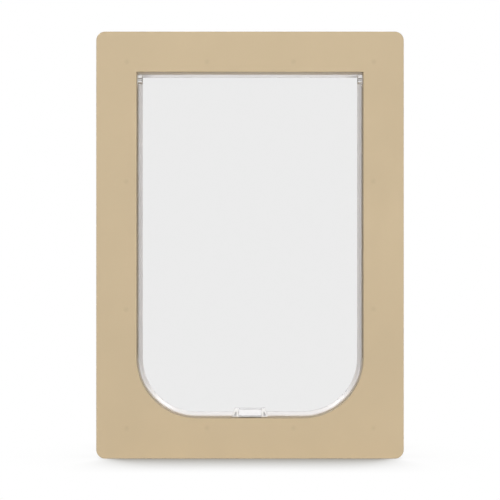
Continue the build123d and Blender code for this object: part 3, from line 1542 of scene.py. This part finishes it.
@dataclass
class Studio:
    """The white floor and world, the lamps and the camera.

    The floor's shadow is whole up to shadow_half from the middle of the door, and fades over shadow_fade to
    the share shadow_beside. Past shadow_start before and behind shadow_middle, the fade widens by
    shadow_spread of the distance.
    """

    floor_height: float = -243.0 * MM
    floor_half: float = 8.0
    floor_lit: float = 0.9
    shadow_reach: float = 168.0 * MM
    shadow_samples: int = 16
    shadow_depth: Colour = (1.36, 1.40, 1.48)
    shadow_core: Colour = (0.30, 0.28, 0.25)
    shadow_half: float = 144.0 * MM
    shadow_fade: float = 34.0 * MM
    shadow_beside: float = 0.06
    shadow_spread: float = 0.5
    shadow_middle: float = 22.0 * MM
    shadow_start: float = 40.0 * MM
    ambient: float = 0.25
    view_width: float = 569.0 * MM
    view_distance: float = 2.5
    face_depth: float = -8.0 * MM
    aim_height: float = -5.6 * MM
    sensor: float = 36.0
    lamps: tuple[SoftBox, ...] = (
        SoftBox("left_soft_box", (-3.9, -4.9, 5.2), (3.0, 1.8), power=98.0),
        SoftBox("right_soft_box", (3.9, -4.9, 5.2), (3.0, 1.8), power=117.0),
        SoftBox("front_soft_box", (0.0, -3.4, 0.0), (1.4, 0.46), 45.0, (0.0, 0.0, -0.05), mirrored=False),
        SoftBox("back_soft_box", (0.0, 3.0, 0.4), (1.0, 1.0), power=46.0, mirrored=False),
    )

    def build(self) -> None:
        """Set up the whole studio."""
        scene = bpy.context.scene
        scene.view_settings.view_transform = "Standard"
        self._floor()
        self._world(scene)
        for lamp in self.lamps:
            lamp.build()
        self._camera(scene)

    def _floor(self) -> None:
        """Lay a white floor with the object's shadow painted on it."""
        draft = MeshDraft()
        corners = rectangle(self.floor_half, self.floor_half)
        draft.faces.append(draft.ring([Vector((x, y, self.floor_height)) for x, y in corners]))
        floor = draft.piece("studio_floor")
        material = bpy.data.materials.new("floor_white")
        material.use_nodes = True
        sheet = NodeSheet(material.node_tree)
        sheet.tree.nodes.clear()
        shown = sheet.add("ShaderNodeEmission", "White with the shadow", {"Color": self._shadow(sheet)})
        plain = sheet.add("ShaderNodeEmission", "White in gloss and glass")
        lit = {"Color": (self.floor_lit, self.floor_lit, self.floor_lit, 1.0)}
        paint = sheet.add("ShaderNodeBsdfDiffuse", "What lights the object", lit)
        feeds = {0: sheet.any_ray(Ray.GLOSSY, Ray.TRANSMISSION), 1: paint.outputs[0], 2: plain.outputs[0]}
        mirrored = sheet.add("ShaderNodeMixShader", feeds=feeds)
        feeds = {0: sheet.any_ray(Ray.CAMERA), 1: mirrored.outputs[0], 2: shown.outputs[0]}
        seen = sheet.add("ShaderNodeMixShader", feeds=feeds)
        sheet.add("ShaderNodeOutputMaterial", feeds={"Surface": seen.outputs[0]})
        floor.data.materials.append(material)

    def _shadow(self, sheet: NodeSheet) -> Socket:
        """Shade the floor by nearness to the object, less and less beside the frame.

        Args:
            sheet: the floor's nodes.

        Returns:
            The shaded white.
        """
        feeds = {"Distance": self.shadow_reach}
        nearby = sheet.add("ShaderNodeAmbientOcclusion", "Contact shadow", feeds, samples=self.shadow_samples)
        parts = sheet.axes(sheet.where())
        away = sheet.math("ABSOLUTE", sheet.math("SUBTRACT", parts["Y"], self.shadow_middle))
        away = sheet.math("MAXIMUM", sheet.math("SUBTRACT", away, self.shadow_start), 0.0)
        spread = sheet.math("MULTIPLY", away, self.shadow_spread)
        start = sheet.math("SUBTRACT", self.shadow_half, spread)
        end = sheet.math("ADD", spread, self.shadow_half + self.shadow_fade)
        across = sheet.math("ABSOLUTE", parts["X"])
        fade = (1.0, self.shadow_beside)
        beside = sheet.remap("Fade beside the frame", across, (start, end), fade, Curve.SMOOTH)
        shadow = sheet.math("MULTIPLY", sheet.math("SUBTRACT", nearby.outputs["AO"], 1.0), beside)
        shade = sheet.vector("MULTIPLY_ADD", "Shade", {0: shadow, 1: self.shadow_depth, 2: WHITE})
        return sheet.vector("MAXIMUM", "Shadow's core", {0: shade[0], 1: self.shadow_core})[0]

    def _world(self, scene: bpy.types.Scene) -> None:
        """Make a world that looks white and lights softly.

        Args:
            scene: the scene that gets the world.
        """
        world = bpy.data.worlds.new("white_studio")
        world.use_nodes = True
        scene.world = world
        sheet = NodeSheet(world.node_tree)
        sheet.tree.nodes.clear()
        seen = sheet.any_ray(*Ray)
        level = sheet.remap("White where seen, ambient elsewhere", seen, (0.0, 1.0), (self.ambient, 1.0))
        background = sheet.add("ShaderNodeBackground", feeds={"Color": (*WHITE, 1.0), "Strength": level})
        sheet.add("ShaderNodeOutputWorld", feeds={"Surface": background.outputs[0]})

    def _camera(self, scene: bpy.types.Scene) -> None:
        """Place the camera square to the outdoor face.

        Args:
            scene: the scene that gets the camera.
        """
        data = bpy.data.cameras.new("photo_camera")
        data.sensor_width = self.sensor
        data.lens = self.sensor * self.view_distance / self.view_width
        camera = bpy.data.objects.new("photo_camera", data)
        camera.location = (0.0, self.face_depth - self.view_distance, self.aim_height)
        camera.rotation_euler = (math.pi / 2, 0.0, 0.0)
        scene.collection.objects.link(camera)
        scene.camera = camera


def main() -> None:
    """Build the pet door's looks and the studio round it."""
    logging.basicConfig(level=logging.INFO, format="%(name)s: %(message)s")
    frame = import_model()
    opening, hinge = Opening(), Hinge()
    ClampFrames().build(frame)
    ClearFlap(opening, hinge).build()
    HingePivots(hinge).build()
    MagnetCatch(hinge.depth).build(frame)
    WeatherPile(hinge.depth).build()
    Studio().build()


if __name__ == "__main__":
    main()
